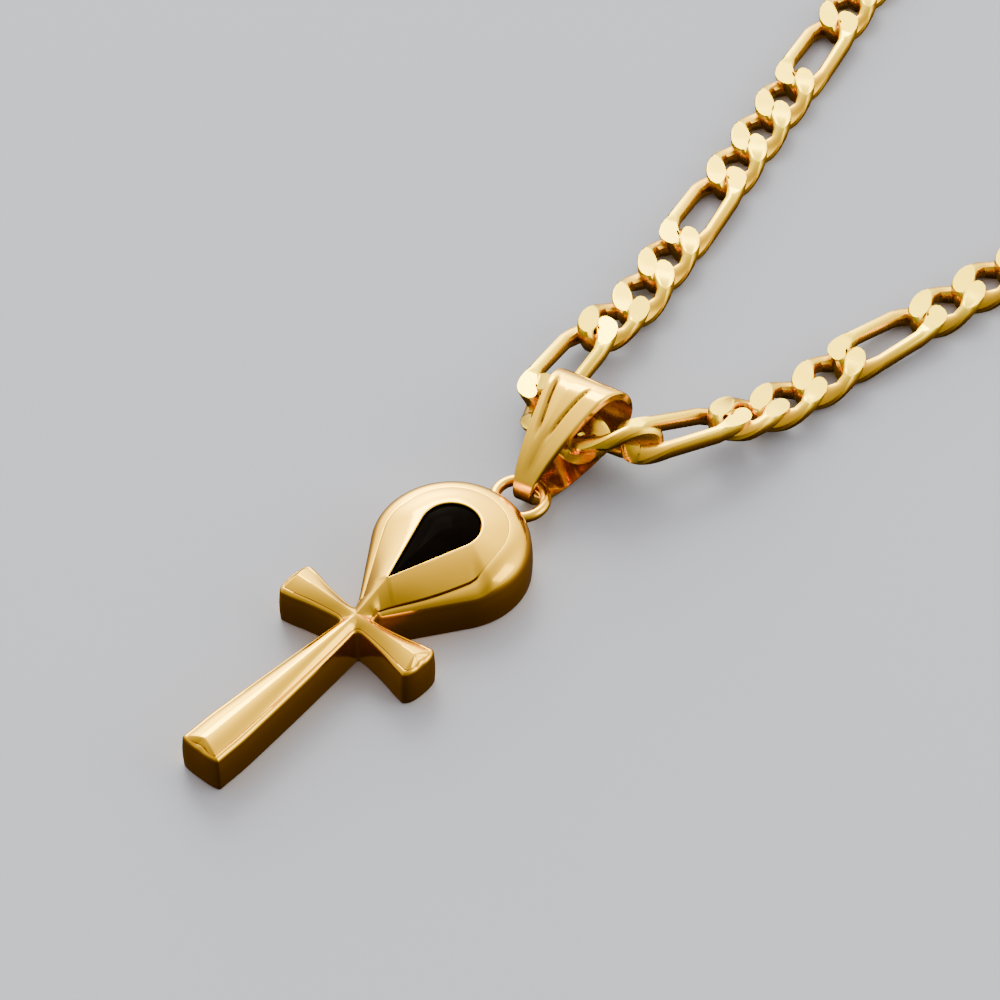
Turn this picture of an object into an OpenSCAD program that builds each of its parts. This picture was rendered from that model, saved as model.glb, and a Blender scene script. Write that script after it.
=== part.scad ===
// Ankh pendant with a teardrop inlay on a flat figaro chain, lying on a surface.
// X runs along the arms, +Y from the stem's end to the loop, +Z up from the surface.
// The origin is under the crossing, on the pendant's flat back.

/* [Ankh body] */
// Distance from the crossing to the end of the stem
stem_len = 11.4; // [8:0.1:16]
// Half of the stem's width at its end
stem_half_end = 1.3; // [0.9:0.05:1.8]
// Distance from the crossing to the end of each arm
arm_len = 4.6; // [3.5:0.1:6]
// Half of an arm's width at its end
arm_half_end = 1.22; // [0.9:0.02:1.6]
// Half of the stem's and the arms' width at the crossing
waist_half = 0.58; // [0.4:0.02:0.8]
// Height of the upright side walls of the stem and arms
wall_h = 2; // [1.4:0.05:2.6]
// Height of the crown over the side walls of the stem and arms
crown_h = 0.65; // [0.3:0.05:1]
// Width of the soft bevel between a side wall and the crown
bevel_w = 0.3; // [0.1:0.02:0.5]
// How far the stem's end bulges out past its corners
stem_bulge = 0.25; // [0.1:0.05:0.6]
// How far each arm's end bulges out past its corners
arm_bulge = 0.5; // [0.2:0.05:0.8]

/* [Loop] */
// Distance from the crossing to the centre of the loop's round end
loop_centre = 7.1; // [6:0.1:9]
// Outer radius of the loop's round end
loop_r = 4.19; // [3.6:0.05:5]
// Distance that the loop's point reaches past the crossing, inside the stem
loop_root = 0.3; // [0.1:0.05:0.5]
// Height of the loop's crest beside the inlay
loop_h = 3.45; // [2.9:0.05:4]
// Height of the loop's upright wall
loop_wall_h = 1.9; // [1.5:0.05:2.4]
// Depth of the inlay's seat under the crest
seat_depth = 0.9; // [0.4:0.05:1.4]

/* [Inlay] */
// Distance from the crossing to the inlay's point
inlay_tip = 2.4; // [1.8:0.1:3.5]
// Radius of the inlay's round end
inlay_r = 1.55; // [1:0.05:2.2]
// Height of the inlay's dome over its edge
inlay_dome = 0.3; // [0.1:0.05:0.5]
// Depth of the inlay's edge under the loop's crest
inlay_edge = 0.1; // [0.05:0.05:0.3]
// Clearance round and under the inlay
inlay_gap = 0.05; // [0.03:0.01:0.1]

/* [Ring] */
// Radius of the ring's centreline
ring_r = 1.34; // [1.2:0.02:1.6]
// Radius of the ring's wire
ring_wire_r = 0.3; // [0.2:0.02:0.36]
// Height of the ring's centre over the surface
ring_z = 1.15; // [0.9:0.05:1.5]
// How far the ring's centreline sinks into the loop's end wall
ring_sink = 0.23; // [0.15:0.01:0.35]

/* [Bail] */
// Length of the bail from its tip to the fold
bail_len = 7.7; // [7:0.1:9]
// Distance from the tip to the bail's widest point
bail_wide_at = 5.7; // [5:0.1:6.5]
// Half of the bail's opening, measured over the outside
bail_half_h = 1.9; // [1.7:0.05:2.3]
// Thickness of the bail's strip
bail_t = 0.42; // [0.3:0.02:0.5]
// Half of the strip's width at the tip
bail_half_tip = 0.55; // [0.4:0.05:0.7]
// Half of the strip's width at the fold
bail_half_fold = 2.1; // [1.6:0.05:2.4]
// Depth of the groove beside the raised borders
bail_groove = 0.1; // [0.04:0.01:0.14]
// Width of each raised border, as a share of the strip's half width
bail_border = 0.2; // [0.12:0.01:0.3]

/* [Chain] */
// Distance between the joints of a short link
short_pitch = 3.16; // [3.1:0.02:3.6]
// Distance between the joints of a long link
long_pitch = 5.52; // [5.4:0.02:6.4]
// Width of a link over its wire
link_w = 3; // [2.9:0.02:3.2]
// Width of a link's wire, seen from above
link_wire = 0.75; // [0.6:0.01:0.78]
// Play between the wires of two links that hold each other
link_play = 0.14; // [0.12:0.01:0.2]
// Height of a link's flattened wire as a share of its width
link_flatness = 0.7; // [0.6:0.02:0.8]
// Thickness of the whole flattened chain
chain_t = 1.16; // [1:0.02:1.3]
// Patterns of one long and three short links on each side
patterns = 14; // [8:1:18]

/* [Clasp] */
// Length of the clasp between the joints of its two end links
clasp_pitch = 12; // [10:0.5:16]
// Width of the clasp's plate
clasp_w = 3.6; // [3:0.1:4.5]
// Thickness of the clasp's plate
clasp_t = 1.5; // [1.3:0.1:2]

/* [Hidden] */
$fn = 48;

gold = [0.83, 0.62, 0.27];
chain_gold = [0.86, 0.68, 0.32];
black_gloss = [0.08, 0.05, 0.02];

// The hipped ends start this share of the end's half width before the end
hip_share = 0.9;
// Points closer than this are one point
tiny = 0.001;
// Width of the slope beside a raised border, as a share of the strip's half width
bail_slope = 0.12;

// Columns: share of the way from the bevel to the ridge, share of the crown's height
crown_rows = [
    [0, 0.45],
    [0.15, 0.62],
    [0.35, 0.78],
    [0.55, 0.89],
    [0.78, 0.97],
    [1, 1]
];
// Columns: share of an end's half width, share of its bulge
end_rows = [
    [1, 0],
    [0.97, 0.3],
    [0.84, 0.62],
    [0.45, 0.92],
    [0, 1]
];
// Columns: share of the length, share of the way from the waist's to the end's half width
stem_rows = [
    [0.2, 0.28],
    [0.45, 0.6],
    [0.7, 0.86],
    [0.88, 1]
];
arm_rows = [
    [0.25, 0.08],
    [0.45, 0.26],
    [0.65, 0.5],
    [0.85, 0.82]
];
// Columns: share of the band from the outline to the inlay, share of the rise to the crest
loop_rows = [
    [0.04, 0.2],
    [0.12, 0.38],
    [0.27, 0.6],
    [0.5, 0.83],
    [0.75, 0.96],
    [1, 1]
];
// Columns: size of the ring against the inlay's outline, share of the dome's rise
dome_rows = [
    [1, 0],
    [0.85, 0.4],
    [0.55, 0.8],
    [0.2, 1]
];
// Corners of the strip's section: its inner side, then its outer side with a raised border
// along both edges and a low ridge in the middle.
// Columns: share of the half width, share of the thickness inwards, share of the groove
bail_rows = [
    [1, 1, 0],
    [-1, 1, 0],
    [-1, 0, 0],
    [bail_border - 1, 0, 0],
    [bail_border + bail_slope - 1, 0, 1],
    [0, 0, 0],
    [1 - bail_border - bail_slope, 0, 1],
    [1 - bail_border, 0, 0],
    [1, 0, 0]
];

arc_steps = 24;
line_steps = 5;
axis_steps = 2;
bail_steps = 32;
link_stations = 10;
end_step = 360 / (link_stations - 2);
wire_sides = 5;
link_twist = 45;
link_half_w = (link_w - link_wire) / 2;
// The stations between a link's sides and its tips lie outside the arc, so that the
// chords between stations stay clear of the next link
link_corner_r = link_half_w / cos(end_step / 2);
// Height of the resting chain's middle, with a hair of room under it
rest_z = chain_t / 2 + 0.02;

// The ring and the bail's tip, which passes through it with this much play
bail_play = 0.47;
ring_y = loop_centre + loop_r + ring_r - ring_sink;
bail_y = ring_y + ring_r - ring_wire_r - bail_play - bail_t;
bail_tip_z = 0.96;
bail_yaw = 8;
bail_pitch = 16;
bail_roll = -8;
// Distance from a clasp joint to the plate
clasp_eye = 2;

// Joints of the links in and beside the bail, measured from the bail's tip, with the roll
// of the link that starts there about its own axis.
// Columns: x, y, height, roll
bail_joints = [
    [-4.85, 14.4, 0.95, 2],
    [-4.85, 11.4, 1.4, 0],
    [-4.05, 6.1, 1.3, 144],
    [-1.95, 4.35, 2.05, 117],
    [1.15, 4.3, 2.65, 58],
    [2.8, 5.95, 2.55, 10],
    [4.95, 10.9, 1.85, 8],
    [5.6, 13.15, 1.2, 1],
    [6.1, 16.15, 0.85, 0]
];
// Whether each of these links is a long one
bail_longs = [false, true, false, false, false, true, false, false];
// The strands' straight stretches meet here if they are carried on, measured from the bail's tip
strand_apex = [0.92, -9.14];
// The strands sink to the surface over this distance from the bail
sink_over = 9;
left_heading = 103.9;
right_heading = 79.4;

zone = [for (j = bail_joints) [j[0], bail_y + j[1], j[2]]];
apex = strand_apex + [0, bail_y];
full_pattern = [long_pitch, short_pitch, short_pitch, short_pitch];
left_pitches = concat(
    [short_pitch, short_pitch],
    [for (i = [1:patterns - 1]) each full_pattern]
);
right_pitches = concat(
    [short_pitch],
    [for (i = [1:patterns - 1]) each full_pattern]
);
half_angle = (left_heading - right_heading) / 2;
middle_heading = (left_heading + right_heading) / 2;
// Radius of the arc that joins both strands at the chain's real length
strand_length = clasp_pitch
    + running(left_pitches)[len(left_pitches)]
    + running(right_pitches)[len(right_pitches)];
zone_left_end = [zone[0][0], zone[0][1]];
zone_right_end = [zone[8][0], zone[8][1]];
arc_r = (strand_length + norm(zone_left_end - apex) + norm(zone_right_end - apex))
    / (2 / tan(half_angle) + PI * (1 + half_angle / 90));
tangent_at = arc_r / tan(half_angle);
arc_centre = apex + arc_r / sin(half_angle) * [cos(middle_heading), sin(middle_heading)];
left_joints = strand_joints(zone[0], left_heading, 1, left_pitches);
right_joints = strand_joints(zone[8], right_heading, -1, right_pitches);

// Faces of a closed loop of n rings with m points each
function loop_faces(n, m) = [
    for (i = [0:n - 1], j = [0:m - 1])
        let (
            a = i * m + j,
            b = i * m + (j + 1) % m,
            c = (i + 1) % n * m + (j + 1) % m,
            d = (i + 1) % n * m + j
        )
            each [[a, b, c], [a, c, d]]
];

// Faces of n stacked rings with m points each, closed by a cap at both ends
function stack_faces(n, m) = concat(
    [[for (j = [0:m - 1]) j]],
    [
        for (i = [0:n - 2], j = [0:m - 1])
            let (
                a = i * m + j,
                b = i * m + (j + 1) % m,
                c = (i + 1) * m + (j + 1) % m,
                d = (i + 1) * m + j
            )
                each [[a, c, b], [a, d, c]]
    ],
    [[for (j = [m - 1:-1:0]) (n - 1) * m + j]]
);

// Points of a teardrop round the Y axis, from its point at y = tip and back to it
function teardrop(tip, centre, r) =
    let (
        lean = asin(r / (centre - tip)),
        side = (centre - tip) * cos(lean)
    )
        concat(
            [
                for (i = [0:line_steps - 1])
                    let (s = side * i / line_steps)
                        [s * sin(lean), tip + s * cos(lean)]
            ],
            [
                for (i = [0:arc_steps])
                    let (a = -lean + i * (180 + 2 * lean) / arc_steps)
                        [r * cos(a), centre + r * sin(a)]
            ],
            [
                for (i = [line_steps - 1:-1:1])
                    let (s = side * i / line_steps)
                        [-s * sin(lean), tip + s * cos(lean)]
            ]
        );

// Points of a limb's side from its waist to the middle of its end, as distance and half width
function limb_side(length, bulge, half_end, rows) =
    let (corner = length - bulge)
        concat(
            [for (r = rows) [r[0] * corner, waist_half + r[1] * (half_end - waist_half)]],
            [for (r = end_rows) [corner + r[1] * bulge, r[0] * half_end]]
        );

// One corner of the plan: its point, the point of the ridge or seat that it rises to,
// the height of its wall and of its crest, and whether it belongs to the loop
function limb_corner(p, ridge) = [p, ridge, wall_h, wall_h + crown_h, false];

// The right half of the plan, from the end of the stem round the arm and the loop to its top
function half_plan() =
    let (
        stem = limb_side(stem_len, stem_bulge, stem_half_end, stem_rows),
        stem_hip = stem_len - hip_share * stem_half_end,
        arm = limb_side(arm_len, arm_bulge, arm_half_end, arm_rows),
        arm_hip = arm_len - hip_share * arm_half_end,
        lean = asin(loop_r / (loop_centre + loop_root)),
        side = (loop_centre + loop_root) * cos(lean),
        joint_s = (waist_half + loop_root) / cos(lean),
        tip_s = (inlay_tip + loop_root) * cos(lean),
        seat_lean = asin(inlay_r / (loop_centre - inlay_tip)),
        seat_side = (loop_centre - inlay_tip) * cos(seat_lean)
    )
        concat(
            [
                for (i = [len(stem) - 1:-1:0])
                    let (q = stem[i])
                        limb_corner([q[1], -q[0]], [0, -min(q[0], stem_hip)])
            ],
            [limb_corner([waist_half, -waist_half], [0, 0])],
            [for (q = arm) limb_corner([q[0], -q[1]], [min(q[0], arm_hip), 0])],
            [
                for (i = [len(arm) - 2:-1:0])
                    let (q = arm[i])
                        limb_corner(q, [min(q[0], arm_hip), 0])
            ],
            [limb_corner([joint_s * sin(lean), waist_half], [0, 0])],
            [
                for (i = [1:axis_steps - 1])
                    let (
                        s = joint_s + (tip_s - joint_s) * i / axis_steps,
                        y = s / cos(lean) - loop_root,
                        start_h = wall_h + crown_h
                    )
                        [
                            [s * sin(lean), s * cos(lean) - loop_root],
                            [0, y],
                            loop_wall_h,
                            start_h + (loop_h - start_h) * y / inlay_tip,
                            true
                        ]
            ],
            [
                for (i = [0:line_steps])
                    let (
                        s = tip_s + (side - tip_s) * i / line_steps,
                        t = seat_side * i / line_steps
                    )
                        [
                            [s * sin(lean), s * cos(lean) - loop_root],
                            [t * sin(seat_lean), inlay_tip + t * cos(seat_lean)],
                            loop_wall_h,
                            loop_h,
                            true
                        ]
            ],
            [
                for (i = [1:arc_steps / 2])
                    let (
                        share = 2 * i / arc_steps,
                        a = -lean + share * (90 + lean),
                        b = -seat_lean + share * (90 + seat_lean)
                    )
                        [
                            [loop_r * cos(a), loop_centre + loop_r * sin(a)],
                            [inlay_r * cos(b), loop_centre + inlay_r * sin(b)],
                            loop_wall_h,
                            loop_h,
                            true
                        ]
            ]
        );

// A corner's point on one row of its crown
function crown_point(c, row) =
    let (
        r = c[4] ? loop_rows[row] : crown_rows[row],
        bevel = c[4] ? 0 : bevel_w / norm(c[1] - c[0]),
        q = c[0] + (c[1] - c[0]) * (bevel + (1 - bevel) * r[0])
    )
        [q[0], q[1], c[2] + r[1] * (c[3] - c[2])];

// The cast ankh: upright walls, a bevel and a crown that rises to the ridges of the stem and
// arms and to the edge of the inlay's seat
module cast_ankh() {
    half = half_plan();
    plan = concat(
        half,
        [
            for (i = [len(half) - 2:-1:1])
                let (c = half[i])
                    [[-c[0][0], c[0][1]], [-c[1][0], c[1][1]], c[2], c[3], c[4]]
        ]
    );
    m = len(plan);
    rings = len(crown_rows) + 2;
    last = (rings - 1) * m;
    seat = len(half) - 1 - arc_steps / 2 - line_steps;
    seat_points = m - 2 * seat;
    sole = rings * m + seat_points;
    points = concat(
        [for (c = plan) [c[0][0], c[0][1], 0]],
        [for (c = plan) [c[0][0], c[0][1], c[2]]],
        [for (row = [0:len(crown_rows) - 1], c = plan) crown_point(c, row)],
        [for (i = [0:seat_points - 1]) [plan[seat + i][1][0], plan[seat + i][1][1], loop_h - seat_depth]],
        [for (c = plan) [c[1][0], c[1][1], 0]]
    );
    // The flat back is closed under the same lines as the crown, because its outline isn't convex
    faces = concat(
        [[for (j = [0:seat_points - 1]) sole + seat + j]],
        [
            for (j = [0:m - 1])
                let (
                    a = sole + j,
                    b = sole + (j + 1) % m,
                    c = (j + 1) % m,
                    d = j
                )
                    each norm(points[b] - points[a]) > tiny ? [[a, c, b], [a, d, c]] : [[a, d, c]]
        ],
        [
            for (i = [0:rings - 2], j = [0:m - 1])
                let (
                    a = i * m + j,
                    b = i * m + (j + 1) % m,
                    c = (i + 1) * m + (j + 1) % m,
                    d = (i + 1) * m + j
                )
                    each norm(points[c] - points[d]) > tiny ? [[a, c, b], [a, d, c]] : [[a, c, b]]
        ],
        [
            for (j = [0:seat_points - 1])
                let (
                    a = last + seat + j,
                    b = last + seat + (j + 1) % seat_points,
                    c = rings * m + (j + 1) % seat_points,
                    d = rings * m + j
                )
                    each [[a, c, b], [a, d, c]]
        ],
        [[for (j = [seat_points - 1:-1:0]) rings * m + j]]
    );
    polyhedron(points, faces);
}

// The small ring on the loop's end, soldered to it
module top_ring() {
    translate([0, ring_y, ring_z])
        rotate_extrude()
            translate([ring_r, 0])
                circle(ring_wire_r);
}

module ankh_body() {
    color(gold)
        union() {
            cast_ankh();
            top_ring();
        }
}

// The domed teardrop stone-like inlay, a small gap clear of its seat all round
module inlay() {
    lean = asin(inlay_r / (loop_centre - inlay_tip));
    outline = teardrop(inlay_tip + inlay_gap / sin(lean), loop_centre, inlay_r - inlay_gap);
    middle = [0, loop_centre - inlay_r / 3];
    base_z = loop_h - seat_depth + inlay_gap;
    edge_z = loop_h - inlay_edge;
    levels = concat(
        [[1, base_z]],
        [for (r = dome_rows) [r[0], edge_z + r[1] * inlay_dome]]
    );
    points = [
        for (l = levels, p = outline)
            let (q = middle + (p - middle) * l[0])
                [q[0], q[1], l[1]]
    ];
    color(black_gloss)
        polyhedron(points, stack_faces(len(levels), len(outline)));
}

// One section of the bail's strip, where the egg-shaped loop has turned by the given angle
function bail_section(turn) =
    let (
        reach = cos(turn) > 0 ? bail_len - bail_wide_at : bail_wide_at,
        along = bail_wide_at + reach * cos(turn),
        half_w = bail_half_tip + (bail_half_fold - bail_half_tip) * along / bail_len
    )
        [
            for (c = bail_rows)
                let (inset = c[1] * bail_t + c[2] * bail_groove)
                    [
                        c[0] * half_w,
                        bail_wide_at + (reach - inset) * cos(turn),
                        (bail_half_h - inset) * sin(turn)
                    ]
        ];

// The bail: a closed strip that passes through the ring and over the chain
module bail() {
    sections = [for (i = [0:bail_steps - 1]) bail_section(i * 360 / bail_steps)];
    color(gold)
        translate([0, bail_y, bail_tip_z])
            rotate([bail_pitch, 0, bail_yaw])
                rotate([0, bail_roll, 0])
                    polyhedron([for (s = sections) each s], loop_faces(bail_steps, len(bail_rows)));
}

// Points of one twisted, flattened link between two joints, rolled about its own axis
function link_points(from, to, pitch, roll) =
    let (
        ahead = (to - from) / norm(to - from),
        up_raw = [0, 0, 1] - ahead * ahead[2],
        up_flat = up_raw / norm(up_raw),
        left_flat = cross(up_flat, ahead),
        up = up_flat * cos(roll) + left_flat * sin(roll),
        left = cross(up, ahead),
        middle = (from + to) / 2,
        half_l = (pitch + link_wire + link_play) / 2,
        straight = half_l - link_half_w
    )
        [
            for (i = [0:link_stations - 1], j = [0:wire_sides - 1])
                let (
                    front = i < link_stations / 2,
                    at = i % (link_stations / 2),
                    bend = at * end_step - 90 + (front ? 0 : 180),
                    r = at % 2 == 0 ? link_half_w : link_corner_r,
                    u = (front ? straight : -straight) + r * cos(bend),
                    v = r * sin(bend),
                    tilt = -link_twist * u / half_l,
                    outwards = [cos(bend), sin(bend) * cos(tilt), sin(bend) * sin(tilt)],
                    across = [0, -sin(tilt), cos(tilt)],
                    round = (j + 0.5) * 360 / wire_sides,
                    p = [u, v * cos(tilt), v * sin(tilt)]
                        + (outwards * cos(round) + across * sin(round)) * link_wire / 2,
                    flat = max(-chain_t / 2, min(chain_t / 2, p[2] * link_flatness))
                )
                    middle + ahead * p[0] + left * p[1] + up * flat
        ];

module link(from, to, pitch, roll = 0) {
    polyhedron(link_points(from, to, pitch, roll), loop_faces(link_stations, wire_sides));
}

// Running sums of a list of lengths, from 0 to their total
function running(v) = [
    for (i = 0, s = 0; i <= len(v); s = s + (i < len(v) ? v[i] : 0), i = i + 1)
        s
];

// Point of a strand at a distance from the apex: along its straight, then round the arc
function strand_point(heading, turn, distance) =
    distance <= tangent_at
        ? apex + distance * [cos(heading), sin(heading)]
        : let (
            swept = (distance - tangent_at) / arc_r * 180 / PI,
            angle = heading + turn * (90 - swept)
        )
            arc_centre + arc_r * [cos(angle), sin(angle)];

// Joints of a strand from its first joint beside the bail, sinking to the surface, to the clasp
function strand_joints(first, heading, turn, pitches) =
    let (
        start = ([first[0], first[1]] - apex) * [cos(heading), sin(heading)],
        along = running(pitches)
    )
        concat(
            [first],
            [
                for (i = [1:len(along) - 1])
                    let (raised = max(0, 1 - along[i] / sink_over) * (first[2] - rest_z))
                        concat(strand_point(heading, turn, start + along[i]), rest_z + raised)
            ]
        );

// Links along a strand's joints
module strand(joints, pitches) {
    for (i = [0:len(pitches) - 1])
        link(joints[i], joints[i + 1], pitches[i]);
}

// Links in and beside the bail, from one joint number to another
module bail_links(from, to) {
    for (i = [from:to])
        link(zone[i], zone[i + 1], bail_longs[i] ? long_pitch : short_pitch, bail_joints[i][3]);
}

module chain_left() {
    color(chain_gold) {
        strand(left_joints, left_pitches);
        bail_links(0, 3);
    }
}

module chain_right() {
    color(chain_gold) {
        strand(right_joints, right_pitches);
        bail_links(4, len(bail_longs) - 1);
    }
}

// The clasp: a plain plate with a link fused into each end, closed and without a joint
module clasp() {
    from = left_joints[len(left_joints) - 1];
    to = right_joints[len(right_joints) - 1];
    ahead = (to - from) / norm(to - from);
    plate_half = norm(to - from) / 2 - clasp_eye;
    round_at = plate_half - clasp_w / 2;
    middle = (from + to) / 2;
    color(chain_gold)
        union() {
            link(from, from + ahead * short_pitch, short_pitch);
            link(to, to - ahead * short_pitch, short_pitch);
            translate([middle[0], middle[1], 0])
                rotate([0, 0, atan2(ahead[1], ahead[0])]) {
                    translate([-round_at, -clasp_w / 2, 0])
                        cube([2 * round_at, clasp_w, clasp_t]);
                    for (end = [-round_at, round_at])
                        translate([end, 0, 0])
                            cylinder(h = clasp_t, d = clasp_w);
                }
        }
}

ankh_body();
inlay();
bail();
chain_left();
chain_right();
clasp();
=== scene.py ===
"""Ankh pendant on a figaro chain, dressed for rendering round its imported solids.

The pendant lies on its flat back. X runs along the arms, +Y from the stem's end to the loop,
and Z up from the surface. Sizes are in millimetres, and meshes are made in metres.
"""

import logging
import math
from collections.abc import Sequence
from dataclasses import dataclass, field, replace
from enum import Enum

import bmesh
import bpy
from mathutils import Matrix, Vector


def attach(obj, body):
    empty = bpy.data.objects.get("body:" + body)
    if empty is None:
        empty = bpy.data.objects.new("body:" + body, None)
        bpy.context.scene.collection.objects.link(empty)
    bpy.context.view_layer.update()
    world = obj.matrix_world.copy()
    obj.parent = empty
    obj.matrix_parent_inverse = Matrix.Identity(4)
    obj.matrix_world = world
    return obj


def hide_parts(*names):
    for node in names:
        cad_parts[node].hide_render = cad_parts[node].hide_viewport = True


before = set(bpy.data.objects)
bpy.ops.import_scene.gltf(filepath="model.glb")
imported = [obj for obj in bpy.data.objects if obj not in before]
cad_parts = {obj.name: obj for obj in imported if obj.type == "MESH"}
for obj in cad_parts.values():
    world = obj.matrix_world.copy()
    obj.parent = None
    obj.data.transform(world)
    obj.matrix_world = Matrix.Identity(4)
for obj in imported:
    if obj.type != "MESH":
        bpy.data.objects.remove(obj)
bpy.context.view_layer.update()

log = logging.getLogger("ankh_pendant")

MM = 0.001
Colour = tuple[float, float, float]
Rows = Sequence[tuple[float, float]]


class Slot(Enum):
    """Material slots of the record."""

    GOLD = "polished_gold"
    CHAIN = "chain_gold"
    INLAY = "black_inlay"


def curve_value(rows: Rows, at: float) -> float:
    """Read a smooth curve that passes through rows and doesn't overshoot between them.

    Args:
        rows: Places and values, in the order of their places.
        at: Place to read.

    Returns:
        The curve's value there; outside the rows it stays at the nearest one.
    """
    if at <= rows[0][0]:
        return rows[0][1]
    if at >= rows[-1][0]:
        return rows[-1][1]
    slopes = [(b[1] - a[1]) / (b[0] - a[0]) for a, b in zip(rows, rows[1:])]
    bends = [slopes[0]]
    for before, after in zip(slopes, slopes[1:]):
        same_way = before * after > 0
        bends.append(2 * before * after / (before + after) if same_way else 0.0)
    bends.append(slopes[-1])
    i = max(k for k in range(len(slopes)) if rows[k][0] <= at)
    span = rows[i + 1][0] - rows[i][0]
    t = (at - rows[i][0]) / span
    start = rows[i][1] * (1 + 2 * t) * (1 - t) ** 2 + bends[i] * span * t * (1 - t) ** 2
    end = rows[i + 1][1] * t * t * (3 - 2 * t) + bends[i + 1] * span * t * t * (t - 1)
    return start + end


def ease(start: float, end: float, at: float) -> float:
    """Rise smoothly from 0 at start to 1 at end."""
    t = min(1.0, max(0.0, (at - start) / (end - start)))
    return t * t * (3 - 2 * t)


def signed_power(value: float, power: float) -> float:
    """Raise a value's size to a power and keep its sign."""
    return math.copysign(abs(value) ** power, value)


def heading(angle: float) -> Vector:
    """Give the flat unit vector at an angle in radians from +X towards +Y."""
    return Vector((math.cos(angle), math.sin(angle)))


def sky(azimuth: float, elevation: float) -> Vector:
    """Give the unit vector at an azimuth and an elevation in degrees."""
    a, e = math.radians(azimuth), math.radians(elevation)
    return Vector((math.cos(a) * math.cos(e), math.sin(a) * math.cos(e), math.sin(e)))


class Socket:
    """A node's output that stands in Python expressions; each operator adds a Math node."""

    def __init__(self, graph: "Graph", output: bpy.types.NodeSocket) -> None:
        """Keep the output and the graph that it belongs to."""
        self.graph = graph
        self.output = output

    def math(self, operation: str, *values: "Socket | float") -> "Socket":
        """Add a Math node with the inputs in values, and give its result."""
        return self.graph.node("ShaderNodeMath", {"operation": operation}, dict(enumerate(values)))

    def __add__(self, other: "Socket | float") -> "Socket":
        """Add a value to this one."""
        return self.math("ADD", self, other)

    def __sub__(self, other: "Socket | float") -> "Socket":
        """Take a value from this one."""
        return self.math("SUBTRACT", self, other)

    def __rsub__(self, other: "Socket | float") -> "Socket":
        """Take this value from another."""
        return self.math("SUBTRACT", other, self)

    def __mul__(self, other: "Socket | float") -> "Socket":
        """Multiply this value by another."""
        return self.math("MULTIPLY", self, other)

    def __pow__(self, other: "Socket | float") -> "Socket":
        """Raise this value to a power."""
        return self.math("POWER", self, other)

    __radd__ = __add__
    __rmul__ = __mul__


class Graph:
    """A node tree that is filled node by node."""

    def __init__(self, tree: bpy.types.NodeTree) -> None:
        """Keep the tree."""
        self.tree = tree

    def node(
        self,
        kind: str,
        settings: dict[str, object] | None = None,
        sockets: dict[str | int, object] | None = None,
        output: str | int = 0,
    ) -> Socket:
        """Add a node.

        Args:
            kind: The node's type.
            settings: The node's own settings, which are set first; "stops" fills a colour ramp.
            sockets: Values or links of its inputs, by name or number.
            output: The output that is wanted.

        Returns:
            That output.
        """
        made = self.tree.nodes.new(kind)
        for name, value in (settings or {}).items():
            if name == "stops":
                self._fill_ramp(made.color_ramp, value)
            else:
                setattr(made, name, value)
        for name, value in (sockets or {}).items():
            if isinstance(value, Socket):
                self.tree.links.new(value.output, made.inputs[name])
            else:
                made.inputs[name].default_value = value
        return Socket(self, made.outputs[output] if made.outputs else None)

    @staticmethod
    def _fill_ramp(ramp: bpy.types.ColorRamp, stops: Sequence[tuple[float, Colour]]) -> None:
        """Give a colour ramp its stops.

        Args:
            ramp: The ramp.
            stops: Places and colours, in order.
        """
        while len(ramp.elements) < len(stops):
            ramp.elements.new(0.5)
        for element, (place, colour) in zip(ramp.elements, stops):
            element.position = place
            element.color = (*colour, 1)

    def noise(
        self,
        where: Socket,
        scale: float,
        detail: float,
        distortion: float = 0.0,
        squeeze: tuple[float, float, float] | None = None,
    ) -> Socket:
        """Add a noise pattern with a mean of about one half.

        Args:
            where: Its coordinates.
            scale: How many features fall on a metre.
            detail: How many finer layers it has.
            distortion: How far it is twisted.
            squeeze: How much narrower the features are along each axis.

        Returns:
            The pattern.
        """
        if squeeze:
            where = self.node("ShaderNodeMapping", None, {"Vector": where, "Scale": squeeze})
        sockets = {"Vector": where, "Scale": scale, "Detail": detail, "Distortion": distortion}
        return self.node("ShaderNodeTexNoise", None, sockets)

    def mix(self, share: Socket | float, a: Socket | Colour, b: Socket | Colour) -> Socket:
        """Mix two colours, where a share of 0 gives the first."""
        ends = [v if isinstance(v, Socket) else (*v, 1) for v in (a, b)]
        return self.node("ShaderNodeMix", {"data_type": "RGBA"}, {0: share, 6: ends[0], 7: ends[1]}, 2)

    def attribute(self, name: str) -> Socket:
        """Read a number that the mesh carries."""
        return self.node("ShaderNodeAttribute", {"attribute_name": name}, output="Fac")

    def bump(self, height: Socket, strength: float = 1.0) -> Socket:
        """Turn a height in millimetres into a normal."""
        sockets = {"Strength": strength, "Distance": MM, "Height": height}
        return self.node("ShaderNodeBump", None, sockets)

    def facing(self, way: Socket, towards: Sequence[float]) -> Socket:
        """Tell how far a direction points towards another, from -1 to 1."""
        settings = {"operation": "DOT_PRODUCT"}
        return self.node("ShaderNodeVectorMath", settings, {0: way, 1: towards}, "Value")

    def background(self, colour: Socket | Colour, strength: Socket | float) -> Socket:
        """Add light from all round."""
        shade = colour if isinstance(colour, Socket) else (*colour, 1)
        return self.node("ShaderNodeBackground", None, {"Color": shade, "Strength": strength})

    def surface(self, sockets: dict[str | int, object]) -> None:
        """Add the shader with its sockets and join it to the material's output."""
        shader = self.node("ShaderNodeBsdfPrincipled", None, sockets)
        self.node("ShaderNodeOutputMaterial", None, {"Surface": shader})


def new_material(name: str) -> tuple[bpy.types.Material, Graph]:
    """Make a material with an empty node tree.

    Args:
        name: The material's name.

    Returns:
        The material and its graph.
    """
    material = bpy.data.materials.new(name)
    material.use_nodes = True
    material.node_tree.nodes.clear()
    return material, Graph(material.node_tree)


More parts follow.
